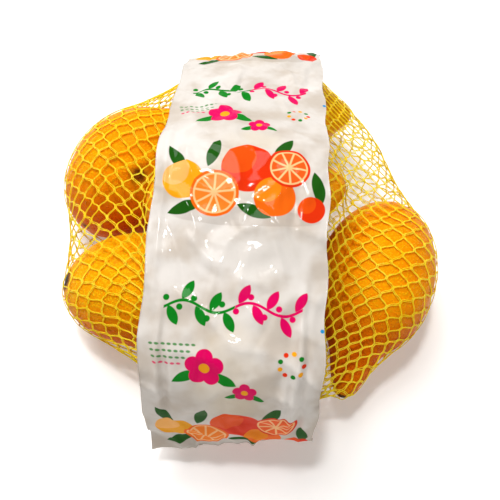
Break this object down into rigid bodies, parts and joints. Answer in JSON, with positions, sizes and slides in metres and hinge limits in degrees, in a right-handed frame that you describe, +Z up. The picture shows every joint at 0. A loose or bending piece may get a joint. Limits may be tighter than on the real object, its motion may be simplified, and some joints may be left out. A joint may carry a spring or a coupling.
{
  "type": "net of lemons",
  "caption": "Yellow knitted net of lemons, drawn together at both ends, with a printed white film band looped round it and crimped at one end.",
  "frame": {"origin": "on the floor, under the middle of the bounding box", "axes": "+Z up, +Y along the film band from its crimped end to the end where it turns over, +X across the band"},
  "size_m": [0.1936, 0.214, 0.1002],
  "materials": {
    "yellow_net": "bright yellow knitted plastic yarn over golden lemon peel",
    "printed_film": "thin glossy white film with orange, red, green and magenta print"
  },
  "bodies": {
    "root": {"net_bag": "yellow_net", "label_band": "printed_film"}
  },
  "joints": []
}
